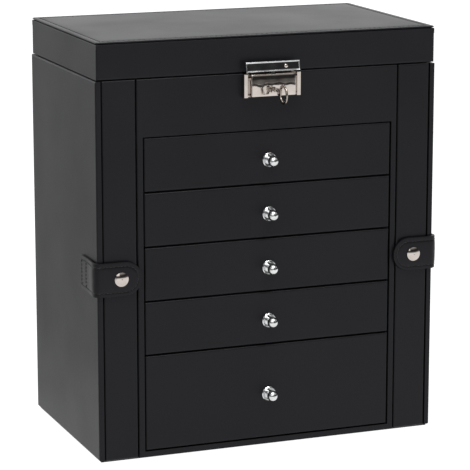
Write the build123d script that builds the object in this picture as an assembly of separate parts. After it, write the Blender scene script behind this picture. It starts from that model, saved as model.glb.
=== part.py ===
from build123d import *
import math
import os

# Tabletop jewellery armoire: a leatherette case with five drawers, a hinged mirror lid with a
# key lock, and two hinged side doors that snap shut with leather straps.
# Frame: millimetres, +Z up, the front faces -Y, the origin is the centre of the base's underside.

os.makedirs("parts", exist_ok=True)

# Overall size
WIDTH = 280.0            # over the outer faces of the two doors
DEPTH = 165.0            # front boards to back board, without knobs, lock and straps
HEIGHT = 325.0           # resting face to lid top

# Boards
BOARD = 4.0              # leatherette-wrapped board
WRAP_R = 1.4             # rounding of a wrapped edge
LINER_T = 1.0            # flock sheet under the base
LINER_INSET = 2.0
DECK_T = 3.0
DECK_RISE = 1.4          # deck above the drawer opening
WALL_SET = 0.5           # partition behind the edge of the drawer opening
SHELF_SET = 0.5          # shelf edge behind the drawer fronts
TRAY_PLAY = 0.1

# Lid
LID_HEIGHT = 28.5
LID_INSET = 1.0          # lid sides stand back from the door faces
LID_SEAM = 0.5           # gap between case rim and lid
LID_PANEL_T = 1.8        # stitched panel on top of the lid
PANEL_EDGE_R = 0.9
ROOF_EDGE_R = 0.6
LINING_T = 1.0
MIRROR_SIZE = (236.0, 126.0)
MIRROR_T = 2.0

# Doors and the compartments behind them
DOOR_T = 4.2
DOOR_GAP = 0.8           # door to case
DOOR_LOW = 1.5
DOOR_DROP = 0.3          # door top below the case rim
DOOR_LINING_SET = 1.5    # lining inside the compartment's opening
DOOR_LINING_REAR = 14.5  # clear of the hinge leaves
STILE_INNER = 108.3      # |x| of the stile edge beside the groove
GROOVE = 0.6
BAY_HALF = 102.9         # half width of the drawer opening

# Drawers, numbered from the top
DRAWER_COUNT = 5
BAY_LOW = 5.2
BAY_PLAY = 0.8           # rail to the bottom drawer front
BAY_TOP = 251.6
TOP_GAP = 0.7            # header to the top drawer front
FRONT_GAP = 1.0          # between drawer fronts
SIDE_GAP = 0.9           # drawer front to frame strip
DEEP_TOP = 81.1          # top of the deep bottom drawer's front
SHELF_T = 2.5
BOX_HALF = 101.6
BOX_WALL = 3.0
BOX_FLOOR = 2.0
BOX_REAR_GAP = 6.5
BOX_LIFT = 1.1           # box underside above the front's lower edge
BOX_DROP = 3.0           # box rim below the front's upper edge
DIVIDER_T = 2.0
DIVIDER_DROP = 4.0

# Knobs
KNOB_DROP = 2.2          # knob axis below the middle of the front
ROSE_R = 5.8
STEM_R = 1.9
BALL_R = 4.25
BALL_OUT = 8.0           # ball centre in front of the board
STUD_R = 1.5
STUD_LENGTH = 3.4
ROSE_RIM = (0.6, 0.8, 1.5)   # rim width, edge height and rim height
ROSE_DISH = (1.6, 0.9)       # dish radius beyond the stem, and its height
ROSE_NECK = (0.4, 1.2, 2.0)  # neck radius beyond the stem, and its two heights

# Top tray
TRAY_WALL = 1.5
TRAY_HEIGHT = 35.0
TRAY_SPLIT_X = -20.0     # ring rolls to the left, boxes to the right
TRAY_CROSS_X = 41.0
ROLL_COUNT = 6
ROLL_HEIGHT = 14.5
ROLL_GAP = 1.6
ROLL_PLAY = 0.2
ROLL_CROWN = 0.45        # crown radius as a share of the roll's width

# Side compartments
HOOK_COUNT = 5
HOOK_PITCH = 26.0
HOOK_Z = 268.0
HOOK_REACH = 13.0
HOOK_TIP = 4.0
HOOK_ROSE = (3.4, 0.7)   # radius and thickness
HOOK_NECK = (1.4, 1.6)   # radius and height where the peg leaves its rose
HOOK_R = 1.1
POCKET_RISE = 1.0        # pocket above the base
POCKET_TOP = 82.0
POCKET_HALF = 62.0
POCKET_DEPTH = 11.0
POCKET_WALL = 1.2

# Hinges
LID_BARREL_R = 2.2
LID_PIN_R = 0.9
LID_LEAF_T = 0.8
LID_AXIS_OUT = 2.4       # hinge axis behind the case
LID_LEAF_REACH = 12.0
LID_HINGE_X = (-85.0, 85.0)
LID_HINGE_LENGTH = 30.0
DOOR_BARREL_R = 1.8
DOOR_PIN_R = 0.75
DOOR_LEAF_T = 0.6
DOOR_AXIS_OUT = 2.3
CASE_LEAF_REACH = 14.0
DOOR_LEAF_REACH = 15.0
DOOR_LEAF_SET = 0.05     # leaf inside the door's rear edge
BRIDGE_START = 0.5
BRIDGE_OVERLAP = 1.0     # bridge into the knuckle
DOOR_HINGE_Z = (45.0, 250.0)
DOOR_HINGE_LENGTH = 24.0
PIN_CLEARANCE = 0.05
KNUCKLES = 5
KNUCKLE_GAP = 0.15
KNUCKLE_CLEAR = (0.1, 0.3)   # leaf edge to barrel, lid and door hinges

# Straps
STRAP_Z = (131.2, 157.7)
STRAP_T = 2.4
STRAP_FRONT_GAP = 1.1    # strap back to stile
STRAP_TIP_X = 105.0
STRAP_BEND_R = 4.5       # outer radius round the door's front edge
STRAP_END_Y = -47.5      # rear end of the strap on the door
STRAP_FLAT_Y = -71.0     # forward of this the strap lifts off the door
STRAP_FOLD_BACK = 1.9    # fold behind the case front
FOLD_GAP = 0.3           # sewn part to flap
SNAP_X = 122.0
CAP_R = 5.5
CAP_EDGE = 0.5
CAP_RISE = 1.8
SNAP_R = 4.5
SNAP_SHAFT_R = 1.8
SOCKET_T = 0.5
STUD_DISC_T = 0.4

# Lock
LOCK_Z = (278.4, 295.9)
LOCK_HALF = 18.3
LOCK_PROUD = 9.0
LOCK_WALL = 1.2
EAR_Z = (277.7, 296.1)
EAR_X = (20.0, 23.3)
EAR_PROUD = 6.2
EAR_STEP_PROUD = 4.6
EAR_STEP_Z = (280.8, 292.8)
EAR_R = 0.5
COVER_R = 0.6
SLOT_HALF = 2.2          # slot in the cover for the eye
SLOT_FRONT = 1.6
SLOT_DEPTH = 2.0
HASP_HALF = 22.1
HASP_Z = (297.5, 305.1)
HASP_PROUD = 8.0
HASP_R = 0.7
HASP_RIVET_X = 10.7
HASP_RIVET_DROP = 0.8    # rivet below the middle of the plate
RIVET_R = 1.9
RIVET_EDGE = 0.1
RIVET_RISE = 0.6
EYE_HALF = 1.4
EYE_Y = (-89.0, -84.6)
EYE_LOW = 285.4
EYE_HOLE_Y = (-87.8, -85.8)
EYE_HOLE_Z = (287.0, 290.0)
KEYHOLE_Z = 283.9
PLUG_R = 2.9
PLUG_DEPTH = 2.0
PLUG_PLAY = 0.1
COLLAR_R = 3.4
COLLAR_T = 1.0
KEYWAY = (0.9, 4.0)
KEYWAY_END = 1.7         # behind the lock face
BLADE = (0.8, 3.6)
BLADE_END = 1.5
SHANK_R = 1.1
BOW_R = 7.8
BOW_HOLE_R = 5.2
BOW_T = 1.6
BOW_EDGE_R = 0.5
BOW_JOIN = 0.8           # shank into the rim of the bow
BOW_OUT = 18.5           # bow centre in front of the lock face
BOW_DROP = 1.6           # bow centre below the keyhole
BOLT_X = (-14.0, -2.4)
BOLT_Y = (-87.5, -86.1)
BOLT_Z = (287.4, 289.6)

# Derived places
HALF_D = DEPTH / 2
FRONT_IN = -HALF_D + BOARD
BACK_IN = HALF_D - BOARD
DOOR_OUT = WIDTH / 2
DOOR_IN = DOOR_OUT - DOOR_T
CASE_HALF = DOOR_IN - DOOR_GAP
LID_LOW = HEIGHT - LID_HEIGHT
CASE_TOP = LID_LOW - LID_SEAM
LID_HALF = DOOR_OUT - LID_INSET
LID_PANEL_LOW = HEIGHT - LID_PANEL_T
BASE_TOP = LINER_T + BOARD
FRAME_OUT = STILE_INNER - GROOVE
WALL_IN = BAY_HALF + WALL_SET
WALL_OUT = WALL_IN + BOARD
DECK_LOW = BAY_TOP + DECK_RISE
DECK_TOP = DECK_LOW + DECK_T
PITCH = (BAY_TOP - TOP_GAP - DEEP_TOP) / (DRAWER_COUNT - 1)
LID_AXIS = (HALF_D + LID_AXIS_OUT, LID_LOW - LID_SEAM / 2)
DOOR_AXIS = (-(CASE_HALF + DOOR_GAP / 2), HALF_D + DOOR_AXIS_OUT)
STRAP_BACK = -HALF_D - STRAP_FRONT_GAP
STRAP_FACE = STRAP_BACK - STRAP_T
LOCK_FACE = -HALF_D - LOCK_PROUD
PLATE_FACE = -HALF_D - LOCK_WALL


def slab(x, y, z):
    """A plain board between the (low, high) pairs of the three axes."""
    spans = (x, y, z)
    sizes = [high - low for low, high in spans]
    middles = [(high + low) / 2 for low, high in spans]
    return Pos(*middles) * Box(*sizes)


def wrapped(x, y, z, outward, radius=WRAP_R):
    """A board with the edges of its face towards `outward` rounded by its wrapping."""
    board = slab(x, y, z)
    face = max(board.faces(), key=lambda side: side.normal_at().dot(Vector(*outward)))
    return fillet(face.edges(), radius)


def turned(outline, crown=None):
    """A body of revolution from (radius, height) points, pointing along -Y from the origin.

    The outline starts on the axis and ends there, or ends in a round crown of that height.
    """
    edges = [Polyline(*outline)]
    if crown:
        radius, low = outline[-1]
        sphere = (radius**2 + (crown - low)**2) / (2 * (crown - low))
        half = math.atan2(radius, low - crown + sphere) / 2
        middle = (sphere * math.sin(half), crown - sphere + sphere * math.cos(half))
        edges.append(ThreePointArc(outline[-1], middle, (0, crown)))
    edges.append(Line(edges[-1] @ 1, outline[0]))
    return Rot(0, 0, 180) * revolve(make_face(edges), Axis.Y)


def pair(solid):
    """The solid and its mirror image on the other side of the case."""
    return [solid, mirror(solid, about=Plane.YZ)]


def save(name, *solids):
    """Write one node, as one solid or as a group of separate solids."""
    node = solids[0] if len(solids) == 1 else Compound(children=list(solids))
    export_step(node, f"parts/{name}.step")


# ---- case -------------------------------------------------------------------------------------

def build_case_boards():
    liner_half = DOOR_OUT - LINER_INSET
    liner_y = HALF_D - LINER_INSET
    save("base_liner", slab((-liner_half, liner_half), (-liner_y, liner_y), (0, LINER_T)))
    save("base_panel", slab((-CASE_HALF, CASE_HALF), (FRONT_IN, BACK_IN), (LINER_T, BASE_TOP)))
    save("back_panel", wrapped((-CASE_HALF, CASE_HALF), (BACK_IN, HALF_D), (LINER_T, CASE_TOP),
                               (0, 1, 0)))
    wall = slab((WALL_IN, WALL_OUT), (FRONT_IN, BACK_IN), (BASE_TOP, CASE_TOP))
    save("partitions", *pair(wall))
    roof = slab((WALL_OUT, CASE_HALF), (FRONT_IN, BACK_IN), (CASE_TOP - BOARD, CASE_TOP))
    save("side_roofs", *pair(roof))


def build_face_frame():
    """Stiles beside the doors, the header above the drawers and the thin frame round them."""
    stile = wrapped((STILE_INNER, CASE_HALF), (-HALF_D, FRONT_IN), (LINER_T, CASE_TOP), (0, -1, 0))
    save("stiles", *pair(stile))
    header = slab((-FRAME_OUT, FRAME_OUT), (-HALF_D, FRONT_IN), (BAY_TOP, CASE_TOP))
    rim = [edge for edge in header.faces().sort_by(Axis.Y)[0].edges()
           if edge.center().Z > BAY_TOP + 1]
    save("header_panel", fillet(rim, WRAP_R))
    strip = slab((BAY_HALF, FRAME_OUT), (-HALF_D, FRONT_IN), (LINER_T, BAY_TOP))
    outer = [edge for edge in strip.faces().sort_by(Axis.Y)[0].edges()
             if edge.center().X > FRAME_OUT - 0.1]
    rail = slab((-BAY_HALF, BAY_HALF), (-HALF_D, FRONT_IN), (LINER_T, BAY_LOW))
    save("frame_strips", *pair(fillet(outer, WRAP_R)), rail)


def build_shelves():
    """One shelf under each shallow drawer and the deck that carries the top tray."""
    boards = [slab((-WALL_IN, WALL_IN), (FRONT_IN, BACK_IN), (DECK_LOW, DECK_TOP))]
    for number in range(1, DRAWER_COUNT):
        middle = front_span(number)[0] - FRONT_GAP / 2
        boards.append(slab((-WALL_IN, WALL_IN), (FRONT_IN + SHELF_SET, BACK_IN),
                           (middle - SHELF_T / 2, middle + SHELF_T / 2)))
    save("drawer_shelves", *boards)


def build_top_tray():
    """A lined tray: a floor, four walls and dividers, with padded rolls for rings."""
    low, high = DECK_TOP, DECK_TOP + TRAY_HEIGHT
    floor = low + TRAY_WALL
    x_out, y_out = WALL_IN - TRAY_PLAY, BACK_IN - TRAY_PLAY
    x_in, y_in = x_out - TRAY_WALL, y_out - TRAY_WALL
    half = DIVIDER_T / 2
    rim = high - DIVIDER_DROP
    save("top_tray",
         slab((-x_out, x_out), (-y_out, y_out), (low, floor)),
         slab((-x_out, -x_in), (-y_out, y_out), (floor, high)),
         slab((x_in, x_out), (-y_out, y_out), (floor, high)),
         slab((-x_in, x_in), (-y_out, -y_in), (floor, high)),
         slab((-x_in, x_in), (y_in, y_out), (floor, high)),
         slab((TRAY_SPLIT_X - half, TRAY_SPLIT_X + half), (-y_in, y_in), (floor, rim)),
         slab((TRAY_SPLIT_X + half, x_in), (-half, half), (floor, rim)),
         slab((TRAY_CROSS_X - half, TRAY_CROSS_X + half), (half, y_in), (floor, rim)))
    step = 2 * y_in / ROLL_COUNT
    rolls = []
    for index in range(ROLL_COUNT):
        start = -y_in + index * step + ROLL_GAP / 2
        block = slab((-x_in + ROLL_PLAY, TRAY_SPLIT_X - half - ROLL_PLAY),
                     (start, start + step - ROLL_GAP), (floor, floor + ROLL_HEIGHT))
        crown = block.faces().sort_by(Axis.Z)[-1].edges().filter_by(Axis.X)
        rolls.append(fillet(crown, (step - ROLL_GAP) * ROLL_CROWN))
    save("ring_rolls", *rolls)


def build_side_fittings():
    """Necklace pegs at the top and a gathered pocket at the foot of each side compartment."""
    peg = turned([(0, 0), (HOOK_ROSE[0], 0), HOOK_ROSE, HOOK_NECK, (HOOK_R, HOOK_REACH)],
                 HOOK_REACH + HOOK_TIP)
    first = -HOOK_PITCH * (HOOK_COUNT - 1) / 2
    pegs = []
    for index in range(HOOK_COUNT):
        place = Pos(WALL_OUT, first + index * HOOK_PITCH, HOOK_Z) * Rot(0, 0, 90) * peg
        pegs += pair(place)
    save("necklace_hooks", *pegs)
    low = BASE_TOP + POCKET_RISE
    outer = WALL_OUT + POCKET_DEPTH
    inner = outer - POCKET_WALL
    pocket = [slab((inner, outer), (-POCKET_HALF, POCKET_HALF), (low, POCKET_TOP)),
              slab((WALL_OUT, inner), (-POCKET_HALF, POCKET_HALF), (low, low + POCKET_WALL)),
              slab((WALL_OUT, inner), (-POCKET_HALF, -POCKET_HALF + POCKET_WALL),
                   (low + POCKET_WALL, POCKET_TOP)),
              slab((WALL_OUT, inner), (POCKET_HALF - POCKET_WALL, POCKET_HALF),
                   (low + POCKET_WALL, POCKET_TOP))]
    save("elastic_pockets", *[piece for wall in pocket for piece in pair(wall)])


# ---- drawers ----------------------------------------------------------------------------------

def front_span(number):
    """Lowest and highest z of a drawer's front board."""
    if number == DRAWER_COUNT:
        return BAY_LOW + BAY_PLAY, DEEP_TOP
    top = BAY_TOP - TOP_GAP - (number - 1) * PITCH
    return top - PITCH + FRONT_GAP, top


def box_span(number):
    """Lowest and highest z of a drawer's box."""
    low, high = front_span(number)
    return low + BOX_LIFT, high - BOX_DROP


def build_drawer_front(number):
    low, high = front_span(number)
    half = BAY_HALF - SIDE_GAP
    board = wrapped((-half, half), (-HALF_D, FRONT_IN), (low, high), (0, -1, 0))
    axis_z = (low + high) / 2 - KNOB_DROP
    hole = Pos(0, -HALF_D + STUD_LENGTH / 2, axis_z) * Rot(90, 0, 0) * Cylinder(STUD_R, STUD_LENGTH)
    save(f"drawer_{number}_front", board - hole)
    save(f"drawer_{number}_knob", Pos(0, -HALF_D, axis_z) * knob())


def knob():
    """A turned knob: threaded stud, dished rose, short stem and ball."""
    neck = BALL_OUT - math.sqrt(BALL_R**2 - STEM_R**2)
    rim, edge, crest = ROSE_RIM
    dish, floor = ROSE_DISH
    flare, foot, top = ROSE_NECK
    outline = [(0, -STUD_LENGTH), (STUD_R, -STUD_LENGTH), (STUD_R, 0), (ROSE_R, 0),
               (ROSE_R, edge), (ROSE_R - rim, crest), (STEM_R + dish, floor),
               (STEM_R + flare, foot), (STEM_R, top), (STEM_R, neck)]
    return turned(outline, BALL_OUT + BALL_R)


def build_drawer_box(number):
    """Floor and four walls of thin board behind the front."""
    low, high = box_span(number)
    floor = low + BOX_FLOOR
    rear = BACK_IN - BOX_REAR_GAP
    inner = BOX_HALF - BOX_WALL
    save(f"drawer_{number}_box",
         slab((-BOX_HALF, BOX_HALF), (FRONT_IN, rear), (low, floor)),
         slab((-BOX_HALF, -inner), (FRONT_IN, rear), (floor, high)),
         slab((inner, BOX_HALF), (FRONT_IN, rear), (floor, high)),
         slab((-inner, inner), (FRONT_IN, FRONT_IN + BOX_WALL), (floor, high)),
         slab((-inner, inner), (rear - BOX_WALL, rear), (floor, high)))


def build_dividers():
    """Lined dividers: three long bays, then four boxes, then two halves."""
    half = DIVIDER_T / 2
    inner = BOX_HALF - BOX_WALL
    y_low, y_high = FRONT_IN + BOX_WALL, BACK_IN - BOX_REAR_GAP - BOX_WALL
    middle = (y_low + y_high) / 2

    def upright(number, x, y):
        low, high = box_span(number)
        return slab(x, y, (low + BOX_FLOOR, high - DIVIDER_DROP))

    third = inner / 3
    save("drawer_1_dividers", *[upright(1, (x - half, x + half), (y_low, y_high))
                                for x in (-third, third)])
    save("drawer_2_dividers", upright(2, (-half, half), (y_low, y_high)),
         upright(2, (-inner, -half), (middle - half, middle + half)),
         upright(2, (half, inner), (middle - half, middle + half)))
    save("drawer_3_dividers", upright(3, (-half, half), (y_low, y_high)))


# ---- lid --------------------------------------------------------------------------------------

def build_lid():
    roof_low = LID_PANEL_LOW - BOARD
    inner_x, inner_y = LID_HALF - BOARD, HALF_D - BOARD
    full = (-HALF_D, HALF_D)
    front = slab((-LID_HALF, LID_HALF), (-HALF_D, -inner_y), (LID_LOW, roof_low))
    corners = [edge for edge in front.faces().sort_by(Axis.Y)[0].edges()
               if edge.center().Z < roof_low - 0.1]
    front = fillet(corners, WRAP_R)
    back = mirror(front, about=Plane.XZ)
    side = slab((-LID_HALF, -inner_x), (-inner_y, inner_y), (LID_LOW, roof_low))
    roof = slab((-LID_HALF, LID_HALF), full, (roof_low, LID_PANEL_LOW))
    roof = fillet(roof.faces().sort_by(Axis.Z)[-1].edges() + roof.edges().filter_by(Axis.Z),
                  ROOF_EDGE_R)
    save("lid_shell", roof, front, back, *pair(side))
    save("lid_top_panel", wrapped((-LID_HALF, LID_HALF), full, (LID_PANEL_LOW, HEIGHT), (0, 0, 1),
                                  PANEL_EDGE_R))
    lining_low = roof_low - LINING_T
    save("lid_lining", slab((-inner_x, inner_x), (-inner_y, inner_y), (lining_low, roof_low)))
    half_x, half_y = MIRROR_SIZE[0] / 2, MIRROR_SIZE[1] / 2
    save("lid_mirror", slab((-half_x, half_x), (-half_y, half_y),
                            (lining_low - MIRROR_T, lining_low)))


# ---- doors ------------------------------------------------------------------------------------

def build_doors():
    """Flat doors over the side compartments, hinged along their rear edges."""
    high = CASE_TOP - DOOR_DROP
    door = wrapped((-DOOR_OUT, -DOOR_IN), (-HALF_D, HALF_D), (DOOR_LOW, high), (-1, 0, 0))
    lining = slab((-DOOR_IN, -DOOR_IN + LINING_T),
                  (FRONT_IN + DOOR_LINING_SET, BACK_IN - DOOR_LINING_REAR),
                  (BASE_TOP + DOOR_LINING_SET, CASE_TOP - BOARD - DOOR_LINING_SET))
    for side, panel, skin in zip(("left", "right"), pair(door), pair(lining)):
        save(f"{side}_door", panel)
        save(f"{side}_door_lining", skin)


# ---- hinges -----------------------------------------------------------------------------------

def hinge_leaf(length, barrel_r, bore_r, fixed, plate, bridge):
    """One leaf about the Z axis; `plate` and `bridge` are its (x, y) spans.

    The fixed leaf has the odd knuckles, the moving leaf the even ones between them.
    """
    step = length / KNUCKLES
    leaf = slab(*plate, (-length / 2, length / 2))
    for index in range(0 if fixed else 1, KNUCKLES, 2):
        low = -length / 2 + index * step + KNUCKLE_GAP
        high = low + step - 2 * KNUCKLE_GAP
        leaf += Pos(0, 0, (low + high) / 2) * Cylinder(barrel_r, high - low)
        leaf += slab(*bridge, (low, high))
    return leaf - Cylinder(bore_r, length)


def build_hinges():
    lid_y = (-LID_AXIS_OUT, -LID_AXIS_OUT + LID_LEAF_T)
    clear = LID_BARREL_R + KNUCKLE_CLEAR[0]
    fixed = hinge_leaf(LID_HINGE_LENGTH, LID_BARREL_R, LID_PIN_R, True,
                       ((-LID_LEAF_REACH, -clear), lid_y), ((-clear, 0), lid_y))
    moving = hinge_leaf(LID_HINGE_LENGTH, LID_BARREL_R, LID_PIN_R + PIN_CLEARANCE, False,
                        ((clear, LID_LEAF_REACH), lid_y), ((0, clear), lid_y))
    pin = Cylinder(LID_PIN_R, LID_HINGE_LENGTH)
    along_x = Rot(0, -90, 0)
    case_leaves, lid_leaves, pins = [], [], []
    for x in LID_HINGE_X:
        place = Pos(x, *LID_AXIS) * along_x
        case_leaves.append(place * fixed)
        lid_leaves.append(place * moving)
        pins.append(place * pin)
    save("lid_hinge_leaves", *lid_leaves)

    case_y = (-DOOR_AXIS_OUT, -DOOR_AXIS_OUT + LID_LEAF_T)
    door_x = (-DOOR_GAP / 2, -DOOR_GAP / 2 + DOOR_LEAF_T)
    edge = DOOR_BARREL_R + KNUCKLE_CLEAR[1]
    rear = -DOOR_AXIS_OUT - DOOR_LEAF_SET
    fixed = hinge_leaf(DOOR_HINGE_LENGTH, DOOR_BARREL_R, DOOR_PIN_R, True,
                       ((edge, CASE_LEAF_REACH), case_y), ((BRIDGE_START, edge), case_y))
    moving = hinge_leaf(DOOR_HINGE_LENGTH, DOOR_BARREL_R, DOOR_PIN_R + PIN_CLEARANCE, False,
                        (door_x, (-DOOR_LEAF_REACH, rear)), (door_x, (rear, -BRIDGE_OVERLAP)))
    pin = Cylinder(DOOR_PIN_R, DOOR_HINGE_LENGTH)
    door_leaves = []
    for z in DOOR_HINGE_Z:
        place = Pos(*DOOR_AXIS, z)
        case_leaves += pair(place * fixed)
        door_leaves.append(place * moving)
        pins += pair(place * pin)
    save("left_door_hinge_leaves", *door_leaves)
    save("right_door_hinge_leaves", *[mirror(leaf, about=Plane.YZ) for leaf in door_leaves])
    save("case_hinge_leaves", *case_leaves)
    save("hinge_pins", *pins)


# ---- straps -----------------------------------------------------------------------------------

def strap_fold():
    """Plan position of the left strap's fold, on its outer skin beside the door's front edge."""
    return -(DOOR_OUT - 1 + STRAP_BEND_R), -HALF_D + STRAP_FOLD_BACK


def strap_anchor():
    """The sewn part of the left strap, which lifts off the door towards the fold."""
    fold_x, fold_y = strap_fold()
    front = fold_y + FOLD_GAP / 2
    outline = Polyline((-DOOR_OUT, STRAP_END_Y), (-DOOR_OUT, STRAP_FLAT_Y),
                       (fold_x + STRAP_T, front), (fold_x, front),
                       (-DOOR_OUT - STRAP_T, STRAP_FLAT_Y), (-DOOR_OUT - STRAP_T, STRAP_END_Y),
                       close=True)
    return Pos(0, 0, STRAP_Z[0]) * extrude(make_face(outline), STRAP_Z[1] - STRAP_Z[0])


def strap_flap():
    """The loose part of the left strap: a bend round the door's edge and a round tip."""
    fold_x, fold_y = strap_fold()
    centre_x, centre_y = fold_x + STRAP_BEND_R, STRAP_FACE + STRAP_BEND_R
    height = STRAP_Z[1] - STRAP_Z[0]
    bend = Pos(centre_x, centre_y) * (Circle(STRAP_BEND_R) - Circle(STRAP_BEND_R - STRAP_T))
    quarter = Pos(centre_x - STRAP_BEND_R / 2, centre_y - STRAP_BEND_R / 2) * Rectangle(
        STRAP_BEND_R, STRAP_BEND_R)
    run = Pos((centre_x - STRAP_TIP_X) / 2, STRAP_FACE + STRAP_T / 2) * Rectangle(
        -STRAP_TIP_X - centre_x, STRAP_T)
    rear = fold_y - FOLD_GAP / 2
    lead = Pos(fold_x + STRAP_T / 2, (centre_y + rear) / 2) * Rectangle(STRAP_T, rear - centre_y)
    flap = Pos(0, 0, STRAP_Z[0]) * extrude((bend & quarter) + run + lead, height)
    tip_r = height / 2
    middle_z = sum(STRAP_Z) / 2
    body = slab((fold_x - 1, -STRAP_TIP_X - tip_r), (STRAP_FACE - 1, -HALF_D + 5), STRAP_Z)
    tip = Pos(-STRAP_TIP_X - tip_r, -HALF_D, middle_z) * Rot(90, 0, 0) * Cylinder(tip_r, 20)
    hole = Pos(-SNAP_X, -HALF_D, middle_z) * Rot(90, 0, 0) * Cylinder(SNAP_SHAFT_R, 20)
    return (flap & (body + tip)) - hole


def build_straps():
    middle_z = sum(STRAP_Z) / 2
    cap = turned([(0, -STRAP_T - SOCKET_T), (SNAP_R, -STRAP_T - SOCKET_T), (SNAP_R, -STRAP_T),
                  (SNAP_SHAFT_R, -STRAP_T), (SNAP_SHAFT_R, 0), (CAP_R, 0), (CAP_R, CAP_EDGE)],
                 CAP_RISE)
    caps = pair(Pos(-SNAP_X, STRAP_FACE, middle_z) * cap)
    for side, anchor, flap, snap in zip(("left", "right"), pair(strap_anchor()),
                                        pair(strap_flap()), caps):
        save(f"{side}_strap_anchor", anchor)
        save(f"{side}_strap_flap", flap)
        save(f"{side}_snap_cap", snap)
    disc = turned([(0, 0), (SNAP_R, 0), (SNAP_R, STUD_DISC_T), (0, STUD_DISC_T)])
    save("snap_studs", *pair(Pos(-SNAP_X, -HALF_D, middle_z) * disc))


# ---- lock -------------------------------------------------------------------------------------

def build_lock_case():
    """Back plate with side ears, and the box cover that holds the plug and bolt."""
    plate = slab((-EAR_X[1], EAR_X[1]), (PLATE_FACE, -HALF_D), EAR_Z)
    ear = wrapped(EAR_X, (-HALF_D - EAR_PROUD, PLATE_FACE), EAR_Z, (0, -1, 0), EAR_R)
    step = slab((LOCK_HALF, EAR_X[0]), (-HALF_D - EAR_STEP_PROUD, PLATE_FACE), EAR_STEP_Z)
    for side in (*pair(ear), *pair(step)):
        plate += side
    save("lock_plate", plate)
    cover = wrapped((-LOCK_HALF, LOCK_HALF), (LOCK_FACE, PLATE_FACE), LOCK_Z, (0, -1, 0), COVER_R)
    inner = LOCK_HALF - LOCK_WALL
    cover -= slab((-inner, inner), (LOCK_FACE + LOCK_WALL, PLATE_FACE),
                  (LOCK_Z[0] + LOCK_WALL, LOCK_Z[1] - LOCK_WALL))
    cover -= slab((-SLOT_HALF, SLOT_HALF), (LOCK_FACE + SLOT_FRONT, PLATE_FACE),
                  (LOCK_Z[1] - SLOT_DEPTH, LOCK_Z[1]))
    cover -= Pos(0, LOCK_FACE, KEYHOLE_Z) * Rot(90, 0, 0) * Cylinder(PLUG_R + PLUG_PLAY,
                                                                     4 * LOCK_WALL)
    save("lock_cover", cover)


def build_hasp():
    """The half of the lock on the lid, with the eye that drops into the cover."""
    face = -HALF_D - HASP_PROUD
    plate = wrapped((-HASP_HALF, HASP_HALF), (face, -HALF_D), HASP_Z, (0, -1, 0), HASP_R)
    rivet = turned([(0, -1), (RIVET_R, -1), (RIVET_R, RIVET_EDGE)], RIVET_RISE)
    place = Pos(HASP_RIVET_X, face, sum(HASP_Z) / 2 - HASP_RIVET_DROP)
    save("hasp_plate", plate + place * rivet)
    eye = slab((-EYE_HALF, EYE_HALF), EYE_Y, (EYE_LOW, HASP_Z[0]))
    eye -= slab((-2 * EYE_HALF, 2 * EYE_HALF), EYE_HOLE_Y, EYE_HOLE_Z)
    save("hasp_eye", eye)


def build_lock_works():
    """Turning plug with its collar, the key standing in it, and the sliding bolt."""
    collar_top = PLUG_PLAY + COLLAR_T
    collar_face = LOCK_FACE - collar_top
    plug = turned([(0, -PLUG_DEPTH), (PLUG_R, -PLUG_DEPTH), (PLUG_R, PLUG_PLAY),
                   (COLLAR_R, PLUG_PLAY), (COLLAR_R, collar_top), (0, collar_top)])
    plug = Pos(0, LOCK_FACE, KEYHOLE_Z) * plug
    keyway = slab((-KEYWAY[0] / 2, KEYWAY[0] / 2), (collar_face - 1, LOCK_FACE + KEYWAY_END),
                  (KEYHOLE_Z - KEYWAY[1] / 2, KEYHOLE_Z + KEYWAY[1] / 2))
    save("lock_plug", plug - keyway)
    bow_y = LOCK_FACE - BOW_OUT
    bow_z = KEYHOLE_Z - BOW_DROP
    shank_start = collar_face - PLUG_PLAY
    shank_end = bow_y + BOW_R - BOW_JOIN
    shank = Pos(0, (shank_start + shank_end) / 2, KEYHOLE_Z) * Rot(90, 0, 0) * Cylinder(
        SHANK_R, shank_start - shank_end)
    blade = slab((-BLADE[0] / 2, BLADE[0] / 2), (collar_face - BLADE_END, LOCK_FACE + BLADE_END),
                 (KEYHOLE_Z - BLADE[1] / 2, KEYHOLE_Z + BLADE[1] / 2))
    rim = Cylinder(BOW_R, BOW_T)
    rim = fillet(rim.edges(), BOW_EDGE_R) - Cylinder(BOW_HOLE_R, 2 * BOW_T)
    save("key", shank + blade + Pos(0, bow_y, bow_z) * Rot(0, 90, 0) * rim)
    save("lock_bolt", slab(BOLT_X, BOLT_Y, BOLT_Z))


build_case_boards()
build_face_frame()
build_shelves()
build_top_tray()
build_side_fittings()
for drawer in range(1, DRAWER_COUNT + 1):
    build_drawer_front(drawer)
    build_drawer_box(drawer)
build_dividers()
build_lid()
build_doors()
build_hinges()
build_straps()
build_lock_case()
build_hasp()
build_lock_works()
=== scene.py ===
import math

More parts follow.
